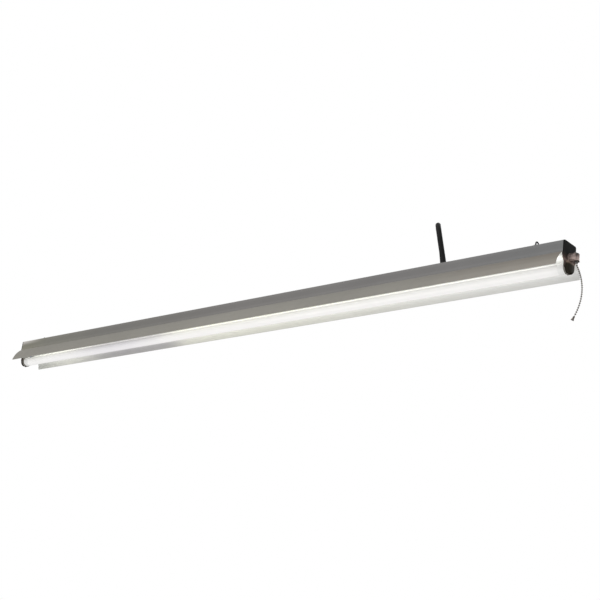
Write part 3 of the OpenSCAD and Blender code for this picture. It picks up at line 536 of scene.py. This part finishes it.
# Plug: moulded body with a ribbed neck, finger grooves and a flat side.
PX, PY = HX0 + 105, 59.0
prof = [(0.0, RC + 0.05), (0.0, 4.65), (0.5, 4.9)]
for k in range(4):
    a = 1.8 + 3.5 * k
    r = 5.9 + 0.35 * k
    prof += [(a, r - 1.0), (a + 0.3, r - 0.15), (a + 0.8, r), (a + 1.6, r), (a + 2.1, r - 0.15), (a + 2.4, r - 1.0)]
prof += [(15.6, 6.9), (16.6, 7.8), (18.6, 9.9), (20.6, 11.6), (22.4, 12.35), (24.0, 12.5), (35.2, 12.5), (36.4, 12.3), (37.2, 11.8), (37.5, 11.0), (37.5, 0)]
v, f = turned([(0.0, 0)] + prof, 64, (PX, PY, HZ0))
plug = piece("plug_moulding", v, f, PLUGM)
cut(plug, block("c", (PX + 14, PY - 15, HZ0 + 10.6), (PX + 45, PY + 15, HZ0 + 16)))
grooves = []
for s in (-1, 1):
    for k in range(4):
        v, f = turned([(0, 0), (0, 0.75), (11, 0.75), (11, 0)], 16, (PX + 24.6 + 2.7 * k, PY + s * 12.55, HZ0 - 5.5), "Z")
        grooves.append(piece("c", v, f, PLUGM))
slots = [block("c", (PX + 34, PY + s * 6.35 - 0.75, HZ0 + 0.6), (PX + 40, PY + s * 6.35 + 0.75, HZ0 + 7.0)) for s in (-1, 1)]
cut(plug, *grooves, *slots, rod("c", 2.4, 6, (PX + 34, PY, HZ0 - 7.2), "X", 32))
soften(plug, 0.25, 2, 40)
settle(plug, "light", ("plug_body",))

blades = []
for s in (-1, 1):
    y0 = PY + s * 6.35 - 0.75
    bl = block("c", (PX + 30, y0, HZ0 + 0.6), (PX + 55.5, y0 + 1.5, HZ0 + 7.0), BRASS)
    cut(bl, rod("c", 1.6, 6, (PX + 50.5, PY + s * 6.35 + 3, HZ0 + 3.8), "Y", 32))
    blades.append(bl)
for b2, nm in zip(blades, ("plug_blade_a", "plug_blade_b")):
    b2.name = nm
    soften(b2, 0.3, 3, 40)
settle(blades[0], "light", ("plug_blades",))
settle(blades[1], "light")
v, f = turned([(0, 0), (0, 2.4), (25.6, 2.4)] + [(25.6 + 2.4 * math.sin(math.radians(a)), 2.4 * math.cos(math.radians(a))) for a in range(10, 90, 10)] + [(28.0, 0)], 40, (PX + 30, PY, HZ0 - 7.2))
pin = piece("plug_ground_rod", v, f, BRASS, "light", ("plug_ground_pin",))

# Strap round the waist of the hank, with a small square buckle.
def strap_outline(g):
    y0, y1, z0, z1, r = 30.35 - g, 63.05 + g, HZ0 - 8.15 - g, HZ0 + 8.15 + g, 3.9 + g
    return (arc(y1 - r, z1 - r, r, 0, 90, 8) + arc(y0 + r, z1 - r, r, 90, 180, 8) + arc(y0 + r, z0 + r, r, 180, 270, 8) + arc(y1 - r, z0 + r, r, 270, 360, 8))


def strap(name, x0, x1, g0, g1, mat):
    o, i = strap_outline(g1), strap_outline(g0)
    n = len(o)
    edge = 0.25
    v, f = [], []
    loops = [(x0, i), (x0, strap_outline(g1 - edge)), (x0 + edge, o), (x1 - edge, o), (x1, strap_outline(g1 - edge)), (x1, i)]
    for x, pr in loops:
        v += [(x, y, z) for y, z in pr]
    m = len(loops)
    for a in range(m):
        b_ = (a + 1) % m
        f += [(a * n + j, a * n + (j + 1) % n, b_ * n + (j + 1) % n, b_ * n + j) for j in range(n)]
    return piece(name, v, f, mat)


tie = strap("hank_strap", HX0 - 6.6, HX0 + 6.6, 0.0, 1.1, BLACKP)
settle(tie, "light", ("hank_tie",))
buckle = block("strap_buckle", (HX0 - 7.6, 63.6, HZ0 - 4.2), (HX0 + 7.6, 66.3, HZ0 + 4.2), BLACKP)
cut(buckle, block("c", (HX0 - 5.4, 65.1, HZ0 - 1.4), (HX0 + 5.4, 67, HZ0 + 1.4)))
soften(buckle, 0.5, 3)
settle(buckle, "light")

# Strain relief: a low bushing with a flange, its collar leaning with the cord.
tilt = Matrix.Rotation(math.radians(-LEAN), 3, "Y")
bprof = [(1.5, RC + 0.02), (1.5, 5.75), (2.6, 5.55), (2.75, 5.25), (3.2, 5.22), (3.35, 5.42), (4.3, 5.22), (4.45, 4.95), (4.9, 4.92), (5.05, 5.08), (5.7, 4.92), (6.0, 4.65), (6.0, RC + 0.02)]
v, f = turned(bprof, 40, (CX, 0, 0), "Z", tilt, closed=True)
boot = piece("cord_boot", v, f, BLACKP, "light", ("strain_relief",))
v, f = turned([(-3.2, 5.1), (-3.2, 5.8), (-0.85, 6.65), (-0.8, 5.75), (0.0, 5.75), (0.0, 7.4), (1.35, 7.4), (1.8, 6.95), (1.8, 4.85), (0.6, 4.6)], 48, (CX, 0, 0), "Z", closed=True)
flange = piece("boot_flange", v, f, BLACKP, "light")


# ------------------------------------------------------------------ housing: folded steel channel
half = (arc(13.0, -2.6, 2.6, 90, 0, 10) + [(15.6, -16.5)] + arc(16.2, -16.5, 0.6, 180, 270, 5) + [(16.7, -17.1), (16.7, -17.9)]
        + arc(15.6, -17.1, 0.8, 270, 180, 5) + [(14.8, -17.0)] + arc(13.0, -2.6, 1.8, 0, 90, 8))
prof = half + [(-y, z) for y, z in reversed(half)]
v, f = along(prof, [-HB, -300, 0, 300, HB])
shell = piece("housing_channel", v, f, GREY)
holes = [rod("c", 2.6, 6, (x, 0, -3), "Z", 40) for x in (-480, 480)]
holes += [rod("c", 5.8, 6, (CX, 0, -3), "Z", 48)]
cut(shell, *holes)
smooth(shell, 32)
settle(shell, "light", ("housing",))

# ------------------------------------------------------------------ reflector: one folded and rolled white sheet
WY, WZ, R0 = -9.0, -51.5, 42.3
def on(r, z):
    return math.degrees(math.asin((z - WZ) / r))
EZ = -40.45
EY = WY + math.sqrt(41.5 ** 2 - (EZ - WZ) ** 2)
ao = math.degrees(math.atan2(EZ - WZ, EY - WY))
top_o, top_i = on(R0, -18.05), on(41.5, -18.95)
wing = [(16.25, -17.9), (16.48, -17.94)] + arc(WY, WZ, R0, top_o, ao, 26)
wing += arc(EY, EZ, 0.8, ao, ao - 180, 10)[1:]
wing += arc(WY, WZ, 40.7, ao, on(40.7, -36.8), 5)[1:]
ah = on(40.7, -36.65)
wing += [(WY + 40.8 * math.cos(math.radians(ah)), WZ + 40.8 * math.sin(math.radians(ah))),
         (WY + 41.3 * math.cos(math.radians(ah)), WZ + 41.3 * math.sin(math.radians(ah)) + 0.05),
         (WY + 41.46 * math.cos(math.radians(ah)), WZ + 41.46 * math.sin(math.radians(ah)))]
wing += arc(WY, WZ, 41.5, ah + 0.25, top_i, 24)
wing += [(16.0, -18.72), (15.7, -18.7)]
prof = wing + [(-y, z) for y, z in reversed(wing)]
v, f = along(prof, [-HB, -300, 0, 300, HB])
sheet = piece("reflector_sheet", v, f, SHEET)
cut(sheet, *[block("c", ((HB - 4.8) if s > 0 else (-HB - 1), -8.5, -20), ((HB + 1) if s > 0 else (-HB + 4.8), 8.5, -17)) for s in (-1, 1)],
    block("c", (HB - 11, -2.4, -20), (HB - 4, 2.4, -17)))
smooth(sheet, 30)
grommet = block("lead_grommet", (HB - 10.95, -2.35, -19.2), (HB - 4.05, 2.35, -17.7), WHITEP)
soften(grommet, 0.3, 3)
settle(grommet, "light")
settle(sheet, "light", ("reflector_flat", "reflector_wing_front", "reflector_wing_back"))


# ------------------------------------------------------------------ end plates
def plate(name, s, hole):
    h = (arc(13.0, -2.6, 2.6, 90, 0, 10) + [(15.6, -17.0), (16.6, -18.1), (17.2, -18.9), (17.3, -19.4), (17.3, -21.3), (17.1, -22.0), (15.4, -25.8), (12.3, -30.4), (11.75, -31.6), (11.6, -33.0), (11.6, -36.0)]
         + arc(9.95, -36.0, 1.65, 0, -180, 10)[1:] + [(8.3, -29.2), (8.15, -28.85), (7.8, -28.7)])
    pr = h + [(-y, z) for y, z in reversed(h)]
    x0, x1 = sorted((s * HB, s * HX))
    v, f = along(pr, [x0, x1])
    p = piece(name, v, f, PLATE)
    if hole:
        cut(p, rod("c", 4.0, 4, (HB - 1, 0, SZ), "X", 48))
    soften(p, 0.22, 3, 32)
    xa, xb = sorted((s * (HB - 12), s * HB))
    tab = block("c", (xa, -9, -1.8), (xb, 9, -0.82), PLATE)
    cut(tab, rod("c", 1.5, 4, (s * (HB - 7), 0, -3.4), "Z", 32))
    soften(tab, 0.15, 2, 40)
    tab.name = name + "_tab"
    settle(tab, "light")
    settle(p, "light", ("end_plate_right" if s > 0 else "end_plate_left",))
    return p


plate("plate_right", 1, True)
plate("plate_left", -1, False)


# ------------------------------------------------------------------ lampholders, bored for their rotors
def tomb(w, top, lz=LZ):
    return [(w, top)] + arc(0, lz, w, 0, -180, 28) + [(-w, top)]


def holder(name, s):
    def ext(steps, mat=BROWN):
        n, v, f = 31, [], []
        for x, w, top in steps:
            v += [(s * x, y, z) for y, z in tomb(w, top)]
        m = len(steps)
        f = [(i * n + j, i * n + (j + 1) % n, (i + 1) * n + (j + 1) % n, (i + 1) * n + j) for i in range(m - 1) for j in range(n)]
        f += [tuple(range(n - 1, -1, -1)), tuple((m - 1) * n + j for j in range(n))]
        return piece("c", v, f, mat)
    x0, x1 = sorted((s * 574.0, s * 581.9))
    a, z = min(s * 574, s * 586), max(s * 574, s * 586)
    def openings():
        return (rod("c", 6.1, x1 - x0, (x0, 0, LZ), "X", 64), block("c", (x0, -1.5, LZ - 12), (x1, 1.5, LZ)), block("c", (a, -1.5, LZ - 12), (z, 1.5, LZ - 6.8)))
    body = ext([(578.6, 8.9, -28.6), (578.9, 9.2, -28.4), (580.3, 9.2, -28.4), (581.0, 9.0, -28.5), (581.7, 8.5, -28.7), (582.3, 7.7, -29.1), (582.6, 7.0, -29.5)])
    cut(body, ext([(576.9, 8.2, -28.8), (579.2, 8.2, -28.8)]), op="UNION")
    cut(body, *openings())
    smooth(body, 35)
    body.name = name
    settle(body, "light", ("lampholder_right" if s > 0 else "lampholder_left",))
    face = ext([(574.7, 8.85, -28.65), (575.05, 9.2, -28.4), (576.55, 9.2, -28.4), (576.9, 8.9, -28.6)], FACE)
    cut(face, *openings())
    smooth(face, 35)
    face.name = name + "_face"
    settle(face, "light")


holder("holder_right", 1)
holder("holder_left", -1)

# ------------------------------------------------------------------ lamp
R = 7.9
prof = [(-564.5 + 8.0, R - 0.9), (-564.5, R - 1.3), (-573.4, R - 1.3), (-573.4, R - 0.6), (-565.6, R - 0.6)]
prof += [(-565.2 + 3.2 * k / 6, R - 0.6 + 0.6 * (1 - math.cos(math.pi * k / 6)) / 2) for k in range(1, 7)]
prof += [(-500, R), (-250, R), (0, R), (250, R), (500, R)]
prof += [(565.2 - 3.2 * k / 6, R - 0.6 + 0.6 * (1 - math.cos(math.pi * k / 6)) / 2) for k in range(6, 0, -1)]
prof += [(565.6, R - 0.6), (573.4, R - 0.6), (573.4, R - 1.3), (564.5, R - 1.3), (564.5 - 8.0, R - 0.9)]
v, f = turned(prof, 64, (0, 0, LZ), closed=True)
tube = piece("lamp_envelope", v, f, GLASS, "lamp", ("lamp_tube",))
parts = []
for s in (-1, 1):
    pr = [(574.5, 0), (574.5, 3.6), (574.42, 4.0), (574.5, 4.4), (574.5, 7.0), (574.35, 7.5), (573.9, 7.9), (573.3, 8.0), (571.4, 8.0), (571.2, 7.86), (570.9, 7.86), (570.7, 8.0),
          (566.6, 8.0), (566.3, 7.9), (565.2, 7.9), (564.95, 8.0), (564.7, 7.95), (564.6, 7.75), (564.6, 7.32), (573.3, 7.32), (573.3, 0)]
    parts.append(turned([(s * a, r) for a, r in pr], 56, (0, 0, LZ)))
caps = grouped("lamp_cap_shells", parts, ALU, 40)
settle(caps, "lamp", ("lamp_caps",))
parts = []
for s in (-1, 1):
    for y in (-2.375, 2.375):
        pr = [(571.0, 0), (571.0, 1.175), (580.1, 1.175), (580.6, 1.12), (580.9, 0.95), (581.1, 0.7), (581.1, 0)]
        parts.append(turned([(s * a, r) for a, r in pr], 24, (0, y, LZ)))
pins = grouped("lamp_pin_rods", parts, BRASS, 40)
settle(pins, "lamp", ("lamp_pins",))

# ------------------------------------------------------------------ pull chain switch
prof = [(573.8, 2.2), (573.8, 3.6), (574.0, 3.9)]
for k in range(8):
    a = 574.2 + 0.7 * k
    prof += [(a, 3.9), (a + 0.35, 3.68)]
prof += [(579.9, 3.9), (BX, 3.9), (BX, 5.6), (BX + 0.5, 6.1), (581.6, 6.1), (581.8, 5.95), (582.2, 5.95), (582.4, 6.1), (585.4, 6.1), (585.6, 5.95), (586.0, 5.95), (586.2, 6.1), (KX, 6.1), (KX, 5.5), (BX + 1.0, 5.5), (BX + 1.0, 2.2)]
v, f = turned(prof, 56, (0, 0, SZ), closed=True)
barrel = piece("switch_tube", v, f, NICKEL, "light", ("switch_barrel",))
# knurled ring nut
n = 48
v, f = [], []
loops = [(HX, 3.95, 0), (HX, 6.2, 1), (HX + 0.3, 6.5, 1), (BX - 0.3, 6.5, 1), (BX, 6.2, 1), (BX, 3.95, 0)]
for x, r, knurl in loops:
    for k in range(4 * n):
        rr = r - (0.28 if knurl and k % 4 in (2, 3) else 0)
        a = 2 * math.pi * k / (4 * n)
        v.append((x, rr * math.cos(a), SZ + rr * math.sin(a)))
m = 4 * n
for a in range(len(loops)):
    b_ = (a + 1) % len(loops)
    f += [(a * m + j, a * m + (j + 1) % m, b_ * m + (j + 1) % m, b_ * m + j) for j in range(m)]
nut = piece("switch_knurled_nut", v, f, NICKEL, "light", ("switch_ring_nut",), angle=30)
# cap and spout
v, f = turned([(KX, 0), (KX, 6.1), (KX + 0.1, 6.45), (KX + 0.35, 6.55), (KX + 1.0, 6.55), (KX + 1.35, 6.35), (KX + 1.6, 6.05), (KX + 2.3, 5.9), (KX + 2.9, 5.5), (KX + 3.2, 4.8), (KX + 3.3, 0)], 56, (0, 0, SZ))
cap = piece("switch_end_cap", v, f, NICKEL)
dome = [(SZ + 2.4 + 2.9 * math.sin(math.radians(a)), 2.9 * math.cos(math.radians(a))) for a in range(0, 90, 10)] + [(SZ + 5.3, 0)]
v, f = turned([(MOUTH, 0), (MOUTH, 3.1), (MOUTH + 0.15, 3.4), (MOUTH + 0.45, 3.35), (MOUTH + 1.0, 2.95), (MOUTH + 1.6, 2.9)] + dome, 40, (VX, 0, 0), "Z")
spout = piece("c", v, f, NICKEL)
cut(cap, spout, op="UNION")
v, f = turned([(MOUTH - 1, 0), (MOUTH - 1, 2.7), (MOUTH, 2.6), (MOUTH + 0.35, 2.1), (MOUTH + 0.9, 1.75), (MOUTH + 10, 1.75), (MOUTH + 10, 0)], 40, (VX, 0, 0), "Z")
bore = piece("c", v, f, NICKEL)
cut(cap, bore)
smooth(cap, 38)
settle(cap, "light", ("switch_cap",))

# ------------------------------------------------------------------ bead chain
GAP, BR = 3.1, 1.2
H1 = MOUTH - 0.6
FIRST = H1 - 1.6
ARC = FIRST - GAP


def line_x(d):
    return VX + 0.47 * d - 11 * (d / 43) ** 2.2


depths = [0.0]
for _ in range(24):
    d = depths[-1]
    g = (line_x(d + 1.5) - line_x(d + 1.4)) / 0.1
    depths.append(d + GAP / math.sqrt(1 + g * g))
beads = [Vector((line_x(d), 0, ARC - d)) for d in depths]


def bead(p, r=BR):
    pr = [(r * math.cos(math.radians(a)), r * math.sin(math.radians(a))) for a in range(0, 181, 12)]
    pr = [(a, q) for a, q in pr if q > 0.42]
    pr = [(pr[0][0] - 0.12, 0.30)] + pr + [(pr[-1][0] + 0.12, 0.30)]
    return turned([(pr[0][0], 0)] + pr + [(pr[-1][0], 0)], 20, p, "Z")


def stick(p, q, r=0.25, n=10):
    d = (q - p)
    rot = Vector((1, 0, 0)).rotation_difference(d.normalized()).to_matrix()
    v, f = turned([(0, 0), (0, r), (d.length, r), (d.length, 0)], n)
    return [tuple(rot @ Vector(w) + p) for w in v], f


V0 = Vector((VX, 0, 0))
top = [V0 + Vector((0, 0, H1 + 1.5 + k * GAP)) for k in range(3)]
ob = grouped("chain_in_spout", [bead(p) for p in top] + [stick(top[0], top[1]), stick(top[1], top[2])], CHAIN, 60)
settle(ob, "chain_puller", ("chain_top",))
mid = V0 + Vector((0, 0, FIRST))
ob = grouped("chain_single_bead", [bead(mid), stick(V0 + Vector((0, 0, H1 + 0.2)), mid)], CHAIN, 60)
settle(ob, "chain_middle", ("chain_bead",))
parts = [bead(p) for p in beads[:-1]] + [stick(p, q) for p, q in zip(beads, beads[1:])]
parts.append(stick(V0 + Vector((0, 0, H1 - 3.0)), beads[0]))
ob = grouped("chain_hanging", parts, CHAIN, 60)
settle(ob, "chain_end", ("pull_chain",))
p, q = beads[-1], beads[-2]
d = (q - p).normalized()
rot = Vector((1, 0, 0)).rotation_difference(d).to_matrix()
v, f = turned([(0.35, 0.3), (0.35, 0.8), (0.1, 1.12), (-0.6, 1.3), (-2.4, 1.36), (-3.4, 1.5), (-4.3, 1.85), (-5.1, 2.2), (-5.5, 2.25), (-5.8, 2.15), (-6.0, 1.85), (-6.05, 1.2), (-5.2, 0.9), (-3.0, 0.7), (-3.0, 0.3)], 36, closed=True)
bell = piece("chain_end_bell", [tuple(rot @ Vector(w) + p) for w in v], f, CHAIN, "chain_end", ("chain_bell",))


# ------------------------------------------------------------------ hanging eyes: saddles
def saddle(name, x):
    base = block("c", (x - 15, -8, 0), (x + 15, 8, 0.8), BLACK)
    cut(base, block("c", (x - 4, -5.2, -1), (x + 4, 5.2, 2)), *[rod("c", 1.6, 3, (x + d_, 0, -1), "Z", 24) for d_ in (-12, 12)])
    ears = []
    for y0, y1 in ((5.2, 6.4), (-6.4, -5.2)):
        pr = [(-2.3, 0.4), (2.3, 0.4)] + [(2.2 * math.cos(math.radians(a)), 2.3 + 2.2 * math.sin(math.radians(a))) for a in range(0, 181, 12)]
        nn = len(pr)
        v = [(x + a, y, z) for y in (y0, y1) for a, z in pr]
        f = [tuple(range(nn)), tuple(range(2 * nn - 1, nn - 1, -1))] + [(j, (j + 1) % nn, nn + (j + 1) % nn, nn + j) for j in range(nn)]
        e = piece("c", v, f, BLACK)
        cut(e, rod("c", 1.0, 4, (x, y1 + 1.5, 2.3), "Y", 24))
        ears.append(e)
    cut(base, *ears, op="UNION")
    soften(base, 0.12, 2, 40)
    base.name = name
    return base


sd = saddle("saddle_right", 527.0)
settle(sd, "light", ("eye_saddles",))
sd = saddle("saddle_left", -527.0)
settle(sd, "light")

# ------------------------------------------------------------------ CAD pieces that stay, with their finishes
for names, mat in (
        (("bridge_brackets", "reflector_screws", "bracket_rivets", "end_plate_screws", "ballast_base", "ballast_screws", "switch_lock_nut", "eye_pins", "eye_rivets"), ZINC),
        (("ballast_cover",), COVER), (("ballast_board",), BOARD), (("ballast_terminals", "rotor_right", "rotor_left", "switch_drum"), WHITEP),
        (("lampholder_contacts",), BRASS), (("lamp_stems",), STEM), (("switch_core",), BLACKP), (("eye_right", "eye_left"), BLACK), (("ground_screw",), SCREWG)):
    for nm in names:
        N[nm].data.materials.clear()
        N[nm].data.materials.append(mat)
for nm, mat in WIRES.items():
    N[nm].data.materials.clear()
    N[nm].data.materials.append(mat)


# ------------------------------------------------------------------ stage: floor, soft light, white surround
fl = bpy.data.meshes.new("floor")
fl.from_pydata([(-9, -9, 0), (9, -9, 0), (9, 9, 0), (-9, 9, 0)], [], [(0, 1, 2, 3)])
floor = bpy.data.objects.new("floor", fl)
floor.location = (0, 0, -2.1)
scene.collection.objects.link(floor)
FLOOR, nt, b = new_material("pale floor")
at = coords(nt)
nt.links.new(ramp(nt, noise(nt, at, 2.0, 3.0), [(0.3, (0.78, 0.78, 0.77)), (0.7, (0.82, 0.82, 0.81))]), b.inputs["Base Color"])
b.inputs["Roughness"].default_value = 0.9
fl.materials.append(FLOOR)

world = bpy.data.worlds.new("world")
scene.world = world
world.use_nodes = True
nt = world.node_tree
nt.nodes.clear()
out = nt.nodes.new("ShaderNodeOutputWorld")
lit = nt.nodes.new("ShaderNodeBackground")
seen = nt.nodes.new("ShaderNodeBackground")
mix = nt.nodes.new("ShaderNodeMixShader")
path = nt.nodes.new("ShaderNodeLightPath")
lit.inputs[0].default_value = (1.0, 1.0, 1.0, 1)
lit.inputs[1].default_value = 0.62
seen.inputs[0].default_value = (1, 1, 1, 1)
seen.inputs[1].default_value = 1.0
nt.links.new(path.outputs["Is Camera Ray"], mix.inputs[0])
nt.links.new(lit.outputs[0], mix.inputs[1])
nt.links.new(seen.outputs[0], mix.inputs[2])
nt.links.new(mix.outputs[0], out.inputs[0])


def area(name, loc, target, w, h, energy, color=(1, 1, 1)):
    d = bpy.data.lights.new(name, "AREA")
    d.shape = "RECTANGLE"
    d.size, d.size_y = w, h
    d.energy = energy
    d.color = color
    o = bpy.data.objects.new(name, d)
    o.location = loc
    o.rotation_euler = (Vector(target) - Vector(loc)).to_track_quat("-Z", "Y").to_euler()
    scene.collection.objects.link(o)
    return o


area("key", (-0.3, -1.6, 2.0), (0, 0, 0), 2.6, 1.4, 26)
area("fill", (0.4, 2.2, 1.2), (0, 0, 0), 2.2, 1.4, 14)
area("low", (-0.3, -1.6, -1.2), (0, 0, -0.03), 2.6, 1.2, 7)
inner = area("inside", (0, 0, -0.0273), (0, 0, 1), 1.14, 0.010, 0.075)
inner.visible_camera = False

scene.view_settings.view_transform = "Standard"
scene.view_settings.look = "None"

print("CORD", round(cord_length, 4))
